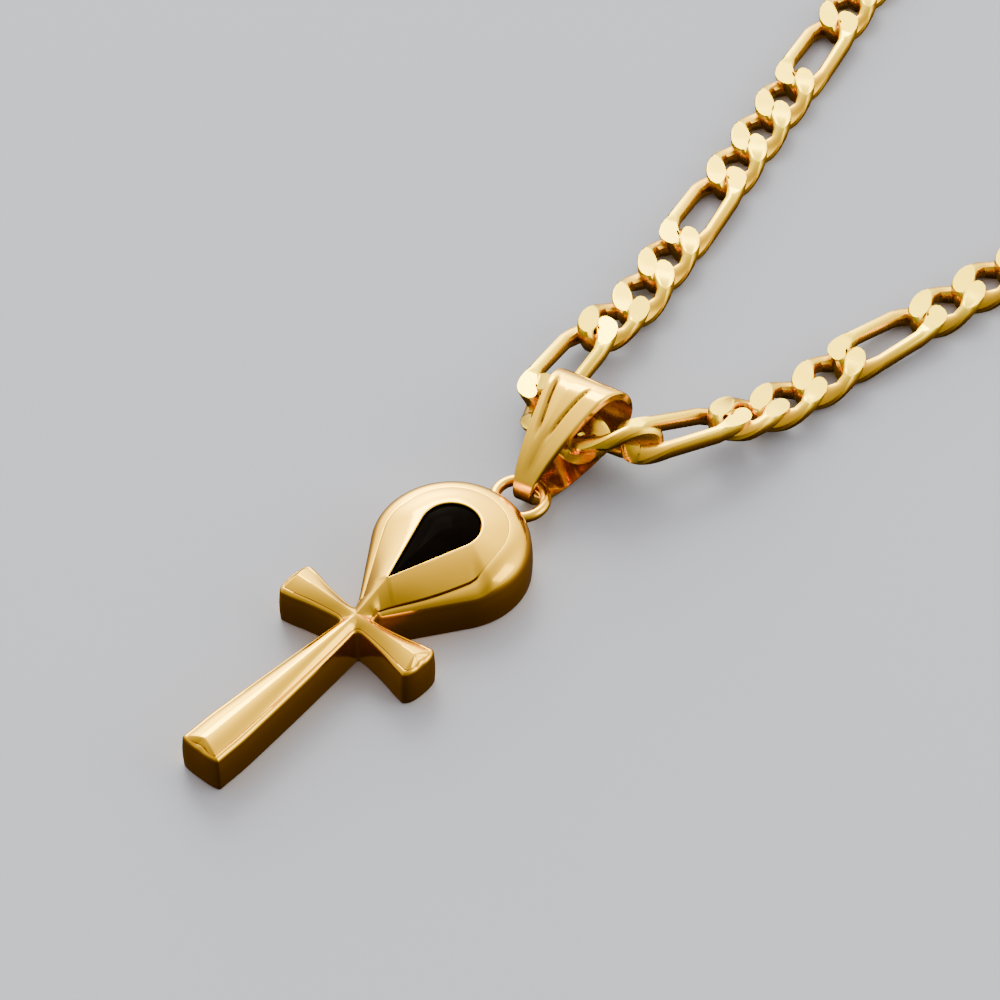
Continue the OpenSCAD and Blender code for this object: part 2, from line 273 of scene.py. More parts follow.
def add_object(name: str, data: bpy.types.ID) -> bpy.types.Object:
    """Add an object to the scene.

    Args:
        name: Its name.
        data: Its mesh, light or camera.

    Returns:
        The object, at the origin.
    """
    made = bpy.data.objects.new(name, data)
    bpy.context.scene.collection.objects.link(made)
    return made


@dataclass(frozen=True)
class GoldFinish:
    """Polished yellow gold, with the softer tone of a cast surface, and painted shade that darkens its
    creases, grooves and shaded sides.
    """

    name: str
    tone: Colour
    warm_tone: Colour
    painted_shade_tone: Colour
    roughness: float
    wave_height: float
    grain_height: float
    tone_varies: bool = False

    def material(self) -> bpy.types.Material:
        """Build the material.

        Returns:
            A metal whose tone, polish and bump change over the surface; it is painted darker and
            rougher where the mesh carries painted shade.
        """
        made, graph = new_material(self.name)
        where = graph.node("ShaderNodeTexCoord", output="Object")
        cloud = graph.noise(where, 210, 2)
        wave = graph.noise(where, 620, 1)
        brushed = graph.noise(where, 1700, 3, 0.4, (1, 6, 1))
        grain = graph.noise(where, 9000, 2)
        painted_shade = graph.attribute("painted_shade")
        tone = graph.mix(cloud * 0.9, self.tone, self.warm_tone)
        if self.tone_varies:
            tone = graph.mix(graph.attribute("tone") * 0.35, tone, self.warm_tone)
        # Painted shade: the colour turns towards the dark painted shade tone wherever the mesh carries
        # painted shade
        tone = graph.mix(painted_shade, tone, self.painted_shade_tone)
        polish = self.roughness + (brushed - 0.5) * 0.1 + (grain - 0.5) * 0.05 + painted_shade * 0.22
        height = wave * self.wave_height + grain * self.grain_height
        bump = graph.bump(height + brushed * (self.grain_height * 0.8))
        graph.surface({"Base Color": tone, "Metallic": 1.0, "Roughness": polish, "Normal": bump})
        return made


@dataclass(frozen=True)
class InlayFinish:
    """Glossy black enamel with a faint brown cloud in its depth."""

    name: str = "black_enamel"
    tone: Colour = (0.0045, 0.0028, 0.0016)
    deep_tone: Colour = (0.0012, 0.0008, 0.0007)
    roughness: float = 0.07

    def material(self) -> bpy.types.Material:
        """Build the material.

        Returns:
            A dark dielectric with hairline marks in its polish.
        """
        made, graph = new_material(self.name)
        where = graph.node("ShaderNodeTexCoord", output="Object")
        cloud = graph.noise(where, 900, 3, 0.6)
        marks = graph.noise(where, 1500, 3, 0.3, (7, 1, 1))
        swell = graph.noise(where, 420, 1)
        graph.surface(
            {
                "Base Color": graph.mix(cloud, self.deep_tone, self.tone),
                "Roughness": self.roughness + marks * 0.05,
                "IOR": 1.15,
                "Specular IOR Level": 0.01,
                "Normal": graph.bump(swell * 0.02 + marks * 0.0006, 0.5),
            }
        )
        return made


@dataclass(frozen=True)
class FloorFinish:
    """Plain pale paper."""

    name: str = "pale_paper"
    tone: Colour = (0.41, 0.42, 0.52)

    def material(self) -> bpy.types.Material:
        """Build the material.

        Returns:
            An even, rough surface.
        """
        made, graph = new_material(self.name)
        tone = (*self.tone, 1)
        graph.surface({"Base Color": tone, "Roughness": 0.85, "Specular IOR Level": 0.1})
        return made


@dataclass
class Shell:
    """Points and faces of a piece while it is built, in millimetres."""

    points: list[Vector] = field(default_factory=list)
    faces: list[Sequence[int]] = field(default_factory=list)
    # Painted shade of each point, from 0 to 1
    painted_shades: list[float] = field(default_factory=list)

    def add_ring(
        self, points: Sequence[Vector], painted_shades: Sequence[float] | None = None
    ) -> list[int]:
        """Add points and give their numbers.

        Args:
            points: The points.
            painted_shades: Painted shade of each point, from 0 to 1, which darkens creases, grooves
                and shaded sides.

        Returns:
            The points' numbers.
        """
        first = len(self.points)
        self.points.extend(points)
        self.painted_shades.extend(painted_shades or [0.0] * len(points))
        return list(range(first, first + len(points)))

    def join(self, a: Sequence[int], b: Sequence[int]) -> None:
        """Join two closed rows of points with quads.

        Args:
            a: Point numbers of the first row.
            b: Point numbers of the second row, as many.
        """
        for j in range(len(a)):
            k = (j + 1) % len(a)
            self.faces.append((a[j], a[k], b[k], b[j]))

    def stack(self, rings: Sequence[Sequence[int]]) -> None:
        """Join rings one after another."""
        for lower, upper in zip(rings, rings[1:]):
            self.join(lower, upper)

    def close(self, rings: Sequence[Sequence[int]]) -> None:
        """Join rings one after another and close the first and the last with a face."""
        self.stack(rings)
        self.faces += [rings[0][::-1], rings[-1]]

    def build(self, name: str, material: bpy.types.Material, sharp: float) -> bpy.types.Object:
        """Turn the shell into an object in the scene.

        Args:
            name: The object's name.
            material: Its finish.
            sharp: Edges that turn by more degrees than this stay crisp.

        Returns:
            The object, at the origin.
        """
        mesh = bpy.data.meshes.new(name)
        mesh.from_pydata([p * MM for p in self.points], [], [tuple(f) for f in self.faces])
        # Painted shade, which the gold finishes lay on as darker colour
        painted_shade = mesh.attributes.new("painted_shade", "FLOAT", "POINT")
        painted_shade.data.foreach_set("value", self.painted_shades)
        finish_mesh(mesh, sharp)
        mesh.materials.append(material)
        return add_object(name, mesh)


def finish_mesh(mesh: bpy.types.Mesh, sharp: float) -> None:
    """Merge doubles, turn the faces outwards and keep the crisp edges.

    Args:
        mesh: The mesh, in metres.
        sharp: Edges that turn by more degrees than this stay crisp.
    """
    work = bmesh.new()
    work.from_mesh(mesh)
    bmesh.ops.remove_doubles(work, verts=work.verts, dist=2e-7)
    bmesh.ops.dissolve_degenerate(work, edges=work.edges, dist=1e-8)
    bmesh.ops.recalc_face_normals(work, faces=work.faces)
    for edge in work.edges:
        turn = edge.calc_face_angle(0.0) if len(edge.link_faces) == 2 else 0.0
        edge.smooth = math.degrees(turn) < sharp
    for face in work.faces:
        face.smooth = True
    work.to_mesh(mesh)
    work.free()


def place(piece: bpy.types.Object, slot: Slot, *nodes: str) -> bpy.types.Object:
    """Let a piece ride on the body and stand for its CAD nodes, which it hides.

    Args:
        piece: The finished piece.
        slot: Its material slot; not used.
        nodes: The CAD nodes that it stands for.

    Returns:
        The piece.
    """
    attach(piece, "root")
    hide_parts(*nodes)
    log.info("%s: %d faces", piece.name, len(piece.data.polygons))
    return piece


@dataclass(frozen=True)
class Limb:
    """The stem or an arm: its sizes, the slope of its crown and how its width grows."""

    length: float
    half_end: float
    bulge: float
    roof: float
    flare: Rows


@dataclass
class Station:
    """A place on the ankh's outline, with the line over its crown to the ridge or the seat."""

    edge: Vector
    ridge: Vector
    wall: float
    strip: float
    shelf: float
    top: float
    roof: float
    turn: float = 75.0
    seat: bool = False
    groove: float = 0.0

    def mirrored(self) -> "Station":
        """Give the same place on the other side of the Y axis."""
        edge, ridge = (Vector((-p.x, p.y)) for p in (self.edge, self.ridge))
        return replace(self, edge=edge, ridge=ridge)


@dataclass
class Ankh:
    """The cast body: stem, arms and loop, with the small ring soldered to the loop's end."""

    gold: bpy.types.Material
    # Each flare's rows are a share of the length and a share of the widening
    stem: Limb = Limb(
        length=11.4,
        half_end=1.3,
        bulge=0.25,
        roof=0.12,
        flare=((0, 0), (0.2, 0.28), (0.45, 0.6), (0.7, 0.86), (0.88, 1), (1, 1)),
    )
    arm: Limb = Limb(
        length=4.6,
        half_end=1.22,
        bulge=0.5,
        roof=0.6,
        flare=((0, 0), (0.25, 0.08), (0.45, 0.26), (0.65, 0.5), (0.85, 0.82), (1, 1)),
    )
    waist_half: float = 0.58
    wall_h: float = 2.0
    crown_h: float = 0.65
    strip_w: float = 0.3
    strip_rise: float = 0.29
    limb_groove: float = 0.012
    steepest: float = 0.85
    hip_share: float = 0.5
    sole_inset: float = 0.1
    barrel: float = 0.07
    widest: float = 0.45
    fillet_at: float = 0.86
    fillet_roof: float = 0.45
    end_power: float = 0.87
    loop_centre: float = 7.1
    loop_r: float = 4.19
    loop_root: float = 0.3
    loop_from: float = 1.5
    loop_h: float = 3.45
    loop_wall_h: float = 1.9
    loop_groove: float = 0.09
    # Groove depth at which the painted shade in the groove is full
    full_groove: float = 0.045
    groove_step: float = 0.05
    crown_from: float = 0.06
    crown_spread: float = 1.3
    seat_depth: float = 0.9
    inlay_tip: float = 2.4
    inlay_r: float = 1.55
    rim_r: float = 0.07
    ring_r: float = 1.34
    ring_wire_r: float = 0.3
    ring_z: float = 1.15
    ring_sink: float = 0.23
    # Along the loop's outline from the crossing: width of the strip and height of its crease
    strip_widths: Rows = (
        (1.1, 0.22), (2, 0.34), (3.6, 0.4), (4.7, 0.52), (6.1, 0.78), (7, 1), (9, 1.25), (13, 1.1)
    )
    crease_heights: Rows = (
        (1.1, 2.3), (3.6, 2.4), (5.2, 2.5), (6.6, 2.62), (7.5, 3.02), (9, 3.12), (13, 3.02)
    )
    # The left half has no crease, only a soft shoulder
    plain_widths: Rows = ((1.1, 0.22), (3.6, 0.45), (7, 0.85), (9, 1.1), (13, 1.1))
    plain_heights: Rows = ((1.1, 2.3), (3.6, 2.55), (7, 2.85), (9, 2.98), (13, 3.02))
    side_steps: int = 34
    end_steps: int = 14
    axis_steps: int = 8
    fillet_steps: int = 8
    arc_steps: int = 60
    strip_steps: int = 8
    crown_steps: int = 20
    rim_steps: int = 4
    ring_steps: int = 64
    ring_sides: int = 20

    @property
    def lean(self) -> float:
        """Angle between the loop's straight side and the Y axis."""
        return math.asin(self.loop_r / (self.loop_centre + self.loop_root))

    def ridge_top(self, ridge: Vector) -> float:
        """Height of the ridge of the limbs, and of the axis up to the seat."""
        start = self.wall_h + self.crown_h
        return start + (self.loop_h - start) * min(1.0, max(0.0, ridge.y) / self.inlay_tip)

    def limb_station(self, edge: Vector, ridge: Vector, half: float, roof: float) -> Station:
        """Make a place on the stem or an arm.

        Args:
            edge: Its point on the outline.
            ridge: The point of the ridge that it rises to.
            half: The limb's half width there as a share of its end's.
            roof: How straight the slope of the crown is, from 0 to 1.

        Returns:
            The place.
        """
        strip = self.strip_w * math.sqrt(max(0.2, half))
        top = self.ridge_top(ridge)
        run = (ridge - edge).length - strip
        shelf = max(self.wall_h + self.strip_rise, top - self.steepest * run)
        return Station(edge, ridge, self.wall_h, strip, shelf, top, roof, groove=self.limb_groove)

    def limb_side(self, limb: Limb, ahead: Vector, aside: Vector) -> list[Station]:
        """Trace one side of a limb from the crossing's fillet to the middle of its end.

        Args:
            limb: The limb.
            ahead: Its direction from the crossing.
            aside: The direction from its middle to this side.

        Returns:
            The side's places in order.
        """
        hip = limb.length - self.hip_share * limb.half_end
        corner = limb.length - limb.bulge
        side = []
        for i in range(self.side_steps):
            along = self.fillet_at + (corner - self.fillet_at) * i / self.side_steps
            widening = curve_value(limb.flare, along / corner)
            side.append((along, self.waist_half + widening * (limb.half_end - self.waist_half)))
        for i in range(self.end_steps + 1):
            turn = math.pi / 2 * i / self.end_steps
            along = corner + limb.bulge * math.sin(turn) ** self.end_power
            side.append((along, limb.half_end * math.cos(turn) ** self.end_power))
        return [
            self.limb_station(
                ahead * along + aside * half,
                ahead * min(along, hip),
                half / limb.half_end if along < hip else 1.0,
                limb.roof,
            )
            for along, half in side
        ]

    def fillet(self, a: Station, corner: Vector, b: Station) -> list[Station]:
        """Round an inner corner between two limbs.

        Args:
            a: Last place before it.
            corner: The corner.
            b: First place after it.

        Returns:
            The places between both.
        """
        made = []
        for i in range(1, self.fillet_steps):
            t = i / self.fillet_steps
            edge = a.edge * (1 - t) ** 2 + corner * 2 * t * (1 - t) + b.edge * t * t
            ridge = a.ridge * max(0.0, 1 - 2 * t) + b.ridge * max(0.0, 2 * t - 1)
            made.append(self.limb_station(edge, ridge, 0.5, self.fillet_roof))
        return made

    def loop_station(
        self, edge: Vector, ridge: Vector, along: float, seat: bool, creased: bool
    ) -> Station:
        """Make a place on the loop.

        Args:
            edge: Its point on the outline.
            ridge: The point of the axis or of the seat's edge that it rises to.
            along: Distance along the outline from the crossing.
            seat: Whether it rises to the seat's edge.
            creased: Whether this half carries the creased strip.

        Returns:
            The place.
        """
        wall = self.wall_h + (self.loop_wall_h - self.wall_h) * ease(1.0, 2.2, along)
        strip = curve_value(self.strip_widths if creased else self.plain_widths, along)
        shelf = curve_value(self.crease_heights if creased else self.plain_heights, along)
        top = self.loop_h if seat else self.ridge_top(ridge)
        if not creased:
            return Station(edge, ridge, wall, strip, shelf, top, 0.3, seat=seat)
        ridged = ease(6.6, 7.6, along) * (1 - ease(9.5, 12, along))
        roof = 0.55 + 0.25 * ridged - 0.25 * ease(10, 13, along)
        groove = self.loop_groove * ease(0.9, 2.0, along) * (1 - ease(6.4, 7.0, along))
        return Station(edge, ridge, wall, strip, shelf, top, roof, 75 - 12 * ridged, seat, groove)

    def loop_side(self, creased: bool) -> list[Station]:
        """Trace one side of the loop from beside the crossing to its top.

        Args:
            creased: Whether this half carries the creased strip.

        Returns:
            Its places in order.
        """
        lean = self.lean
        span = self.loop_centre - self.inlay_tip
        seat_lean = math.asin(self.inlay_r / span)
        seat_side = span * math.cos(seat_lean)
        side = (self.loop_centre + self.loop_root) * math.cos(lean)
        tip = (self.inlay_tip + self.loop_root) * math.cos(lean)
        lines = []
        for i in range(self.axis_steps):
            s = self.loop_from + (tip - self.loop_from) * i / self.axis_steps
            lines.append((s, Vector((0, s / math.cos(lean) - self.loop_root)), False))
        for i in range(self.side_steps):
            share = i / self.side_steps
            t = seat_side * share
            ridge = Vector((t * math.sin(seat_lean), self.inlay_tip + t * math.cos(seat_lean)))
            lines.append((tip + (side - tip) * share, ridge, True))
        made = []
        for s, ridge, seat in lines:
            edge = Vector((s * math.sin(lean), s * math.cos(lean) - self.loop_root))
            made.append(self.loop_station(edge, ridge, s, seat, creased))
        centre = Vector((0, self.loop_centre))
        for i in range(self.arc_steps + 1):
            share = i / self.arc_steps
            turned = share * (math.pi / 2 + lean)
            edge = centre + heading(turned - lean) * self.loop_r
            ridge = centre + heading(share * (math.pi / 2 + seat_lean) - seat_lean) * self.inlay_r
            along = side + self.loop_r * turned
            made.append(self.loop_station(edge, ridge, along, True, creased))
        return made

    def half_plan(self, creased: bool) -> list[Station]:
        """Trace one half of the outline, from the stem's end round the arm to the top.

        Args:
            creased: Whether this half carries the creased strip.

        Returns:
            Its places in order.
        """
        right, up, down = Vector((1, 0)), Vector((0, 1)), Vector((0, -1))
        stem = self.limb_side(self.stem, down, right)[::-1]
        arm_low = self.limb_side(self.arm, right, down)
        arm_high = self.limb_side(self.arm, right, up)[-2::-1]
        loop = self.loop_side(creased)
        waist = self.waist_half
        joint = (waist + self.loop_root) * math.tan(self.lean)
        low = self.fillet(stem[-1], Vector((waist, -waist)), arm_low[0])
        high = self.fillet(arm_high[-1], Vector((joint, waist)), loop[0])
        return stem + low + arm_low + arm_high + high + loop

    def profile(self, at: Station) -> list[tuple[float, float, float]]:
        """Work out the line from the flat back up the wall and over the crown.

        Args:
            at: The place on the outline.

        Returns:
            Distance from the outline, height and the painted shade that darkens the groove, in order.
        """
        rows = [(self.sole_inset, 0.0, 0.0)]
        for share in (0.03, 0.15, 0.3, self.widest, 0.6, 0.75, 0.88):
            inset = self.barrel * ((share - self.widest) / (1 - self.widest)) ** 2
            rows.append((inset, at.wall * share, 0.0))
        turn = math.radians(at.turn)
        for i in range(self.strip_steps + 1):
            angle = turn * i / self.strip_steps
            out = (1 - math.cos(angle)) / (1 - math.cos(turn)) * (at.strip - self.barrel)
            up = math.sin(angle) / math.sin(turn) * (at.shelf - at.wall)
            rows.append((self.barrel + out, at.wall + up, 0.0))
        # Painted shade: the groove and the rows on either side of it are painted darker, the more the
        # deeper the groove is
        depth = min(1.0, at.groove / self.full_groove)
        rows[-1] = (*rows[-1][:2], depth * 0.5)
        rows.append((at.strip + self.groove_step, at.shelf - at.groove, depth))
        run = (at.ridge - at.edge).length - (self.rim_r if at.seat else 0) - at.strip
        first = self.crown_from
        for i in range(self.crown_steps):
            u = first + (1 - first) * (i / (self.crown_steps - 1)) ** self.crown_spread
            up = (at.top - at.shelf) * (at.roof * u + (1 - at.roof) * (1 - (1 - u) ** 2))
            rows.append((at.strip + run * u, at.shelf + up, 0.0 if i else depth))
        return rows

    def build(self) -> bpy.types.Object:
        """Build the body with its ring.

        Returns:
            The finished piece.
        """
        plain = self.half_plan(False)
        plan = self.half_plan(True) + [at.mirrored() for at in reversed(plain[1:-1])]
        shell = Shell()
        rings = []
        for rows in zip(*(self.profile(at) for at in plan)):
            points = []
            for at, (away, height, _) in zip(plan, rows):
                flat = at.edge + (at.ridge - at.edge).normalized() * away
                points.append(Vector((flat.x, flat.y, height)))
            rings.append(shell.add_ring(points, [row[2] for row in rows]))
        shell.stack(rings)
        shell.faces.append(rings[0][::-1])
        self.add_seat(shell, plan, rings[-1])
        self.add_ring(shell)
        return place(shell.build("cast_ankh", self.gold, 34), Slot.GOLD, "ankh_body")

    def add_seat(self, shell: Shell, plan: list[Station], last: list[int]) -> None:
        """Add the rounded rim, the upright wall and the floor of the inlay's seat.

        Args:
            shell: The body's shell.
            plan: The places on its outline.
            last: The shell's points at the top of the crown, one for each place.
        """
        seated = [(i, at) for i, at in enumerate(plan) if at.seat]
        downs = []
        for k in range(1, self.rim_steps + 1):
            angle = math.pi / 2 * k / self.rim_steps
            rim_z = self.loop_h - self.rim_r * (1 - math.cos(angle))
            downs.append((self.rim_r * (1 - math.sin(angle)), rim_z))
        rings = [[last[i] for i, _ in seated]]
        for back, height in downs + [(0.0, self.loop_h - self.seat_depth)]:
            points = []
            for _, at in seated:
                flat = at.ridge - (at.ridge - at.edge).normalized() * back
                points.append(Vector((flat.x, flat.y, height)))
            rings.append(shell.add_ring(points))
        shell.stack(rings)
        shell.faces.append(rings[-1])

    def add_ring(self, shell: Shell) -> None:
        """Add the small ring, sunk into the loop's end wall.

        Args:
            shell: The body's shell.
        """
        ring_y = self.loop_centre + self.loop_r + self.ring_r - self.ring_sink
        rings = []
        for i in range(self.ring_steps):
            out = heading(2 * math.pi * i / self.ring_steps)
            circle = []
            for j in range(self.ring_sides):
                wire = heading(2 * math.pi * j / self.ring_sides) * self.ring_wire_r
                flat = out * (self.ring_r + wire.x)
                circle.append(Vector((flat.x, ring_y + flat.y, self.ring_z + wire.y)))
            rings.append(shell.add_ring(circle))
        shell.stack(rings + rings[:1])


@dataclass
class Inlay:
    """The domed black teardrop in the loop's seat."""

    enamel: bpy.types.Material
    tip: float = 2.4
    centre: float = 7.1
    radius: float = 1.55
    gap: float = 0.05
    edge_z: float = 3.35
    base_z: float = 2.6
    dome: float = 0.3
    edge_r: float = 0.09
    side_steps: int = 24
    arc_steps: int = 72
    dome_steps: int = 16

    def outline(self) -> list[Vector]:
        """Trace the teardrop from its point and back to it.

        Returns:
            Its points in order.
        """
        lean = math.asin(self.radius / (self.centre - self.tip))
        tip = Vector((0, self.tip + self.gap / math.sin(lean)))
        step = (self.centre - tip.y) * math.cos(lean) / self.side_steps
        right = [tip + heading(math.pi / 2 - lean) * step * i for i in range(self.side_steps)]
        middle = Vector((0, self.centre))
        turns = [i * (math.pi + 2 * lean) / self.arc_steps - lean for i in range(self.arc_steps + 1)]
        arc = [middle + heading(a) * (self.radius - self.gap) for a in turns]
        left = [Vector((-p.x, p.y)) for p in reversed(right[1:])]
        return right + arc + left

    def build(self) -> bpy.types.Object:
        """Build the inlay.

        Returns:
            The finished piece.
        """
        outline = self.outline()
        middle = Vector((0, self.centre - self.radius / 3))
        levels = [(1.0, self.base_z), (1.0, self.edge_z - self.edge_r)]
        for k in (1, 2, 3):
            angle = math.pi / 8 * k
            shrink = 1 - self.edge_r * (1 - math.cos(angle)) / self.radius
            levels.append((shrink, self.edge_z - self.edge_r * (1 - math.sin(angle))))
        start, start_z = levels[-1]
        rise = self.edge_z + self.dome - start_z
        for i in range(1, self.dome_steps + 1):
            t = i / (self.dome_steps + 1)
            levels.append((start * (1 - t), start_z + rise * (1 - (1 - t) ** 2.2)))
        shell = Shell()
        rings = []
        for size, height in levels:
            flat = [middle + (p - middle) * size for p in outline]
            rings.append(shell.add_ring([Vector((p.x, p.y, height)) for p in flat]))
        shell.close(rings)
        return place(shell.build("enamel_teardrop", self.enamel, 40), Slot.INLAY, "inlay")


@dataclass
class Bail:
    """The tapered strip, bent into an egg-shaped loop through the ring and over the chain."""

    gold: bpy.types.Material
    length: float = 7.7
    wide_at: float = 5.7
    half_h: float = 1.9
    thickness: float = 0.42
    half_tip: float = 0.55
    half_fold: float = 2.1
    groove: float = 0.14
    groove_w: float = 0.19
    roof: float = 0.07
    edge_from: float = 0.88
    edge_round: float = 0.1
    valley_depth: float = 0.05
    inner_tilt: float = 0.3
    place_y: float = 12.55
    place_z: float = 0.96
    pitch: float = 16
    yaw: float = 8
    roll: float = -8
    turn_steps: int = 150
    across_steps: int = 76
    # Distance from the tip: where the grooves run, as a share of the half width
    left_groove: Rows = ((2.4, -0.42), (3.6, -0.52), (5.5, -0.68), (7.7, -0.74))
    right_groove: Rows = ((2.4, 0.1), (3.6, 0.15), (5.5, 0.28), (7.7, 0.5))

    def half(self, along: float) -> float:
        """Give the strip's half width at a distance from the tip."""
        return self.half_tip + (self.half_fold - self.half_tip) * along / self.length

    def relief(self, along: float, across: float) -> tuple[float, float]:
        """Work out how far the outer face lies under its smooth form.

        Args:
            along: Distance from the tip.
            across: Place over the width, from -1 to 1.

        Returns:
            The depth, and the painted shade there, which darkens the grooves and the valley near the
            tip.
        """
        left = curve_value(self.left_groove, along)
        right = curve_value(self.right_groove, along)
        away = min(abs(across - left), abs(across - right)) * self.half(along)
        shown = ease(2.6, 4.0, along) * (1 - ease(6.0, 6.9, along))
        cut = max(0.0, 1 - away / self.groove_w) ** 1.3 * shown
        near_tip = ease(0.6, 1.6, along) * (1 - ease(2.8, 4.0, along))
        valley = near_tip * max(0.0, 1 - abs(across) / 0.5)
        edge = max(0.0, (abs(across) - self.edge_from) / (1 - self.edge_from))
        rounding = self.edge_round * (1 - math.sqrt(max(0.0, 1 - edge * edge)))
        depth = self.groove * cut + rounding + self.valley_depth * valley
        if left < across < right:
            share = (across - left) / max(right - left, 0.02)
            depth += self.roof * max(0.0, abs(share - 0.45) * 2 - 0.1) * shown
        # The second value is painted shade: the grooves and the valley near the tip are painted darker
        return depth, max(cut, 0.5 * valley)

    def section(self, turn: float) -> tuple[list[Vector], list[float]]:
        """Cut the strip at one turn of the loop.

        Args:
            turn: The angle round the loop; 0 is the fold and 180 degrees the tip.

        Returns:
            The section's points and the painted shade of each, on the grooves, near the tip and over
            the inner face.
        """
        c, s = math.cos(turn), math.sin(turn)
        reach = self.length - self.wide_at if c > 0 else self.wide_at
        along = self.wide_at + reach * c
        # Painted shade: the outer face is painted darker near the tip, and the inner face all over the
        # upper leaf and on the lower leaf away from the tip
        under = 0.7 * (1 - ease(0.15, 0.7, along))
        inner_face_shade = 0.6 if s > 0 else 0.7 * ease(3.2, 5.2, along)
        tilted = self.inner_tilt * ease(0.6, 2.0, along) if s < 0 else 0.0
        points = []
        painted_shades = []
        for side in (1, -1):
            for i in range(self.across_steps + 1):
                across = side * (2 * i / self.across_steps - 1)
                if side > 0:
                    inset, cut = self.relief(along, across)
                    painted_shades.append(max(cut, under))
                else:
                    inset = self.thickness - tilted * (0.5 + 0.5 * across)
                    painted_shades.append(inner_face_shade)
                y = self.wide_at + (reach - inset) * c
                points.append(Vector((across * self.half(along), y, (self.half_h - inset) * s)))
        return points, painted_shades

    def build(self) -> bpy.types.Object:
        """Build the bail where it hangs.

        Returns:
            The finished piece.
        """
        where = Matrix.Translation((0, self.place_y, self.place_z))
        for angle, axis in ((self.yaw, "Z"), (self.pitch, "X"), (self.roll, "Y")):
            where = where @ Matrix.Rotation(math.radians(angle), 4, axis)
        shell = Shell()
        rings = []
        for i in range(self.turn_steps):
            points, painted_shades = self.section(2 * math.pi * i / self.turn_steps)
            rings.append(shell.add_ring([where @ p for p in points], painted_shades))
        shell.stack(rings + rings[:1])
        return place(shell.build("ribbed_bail", self.gold, 32), Slot.GOLD, "bail")


@dataclass(frozen=True)
class Link:
    """One link's joints, the length of its kind and its roll about its own axis."""

    start: Vector
    end: Vector
    long: bool
    roll: float = 0.0

    @property
    def middle(self) -> Vector:
        """Its middle, in metres."""
        return (self.start + self.end) / 2 * MM

    def frame(self) -> Matrix:
        """Work out how a link along X with its flat up turns to its place.

        Returns:
            The turn.
        """
        ahead = (self.end - self.start).normalized()
        up_flat = (Vector((0, 0, 1)) - ahead * ahead.z).normalized()
        roll = math.radians(self.roll)
        up = up_flat * math.cos(roll) + up_flat.cross(ahead) * math.sin(roll)
        return Matrix((ahead, up.cross(ahead), up)).transposed()


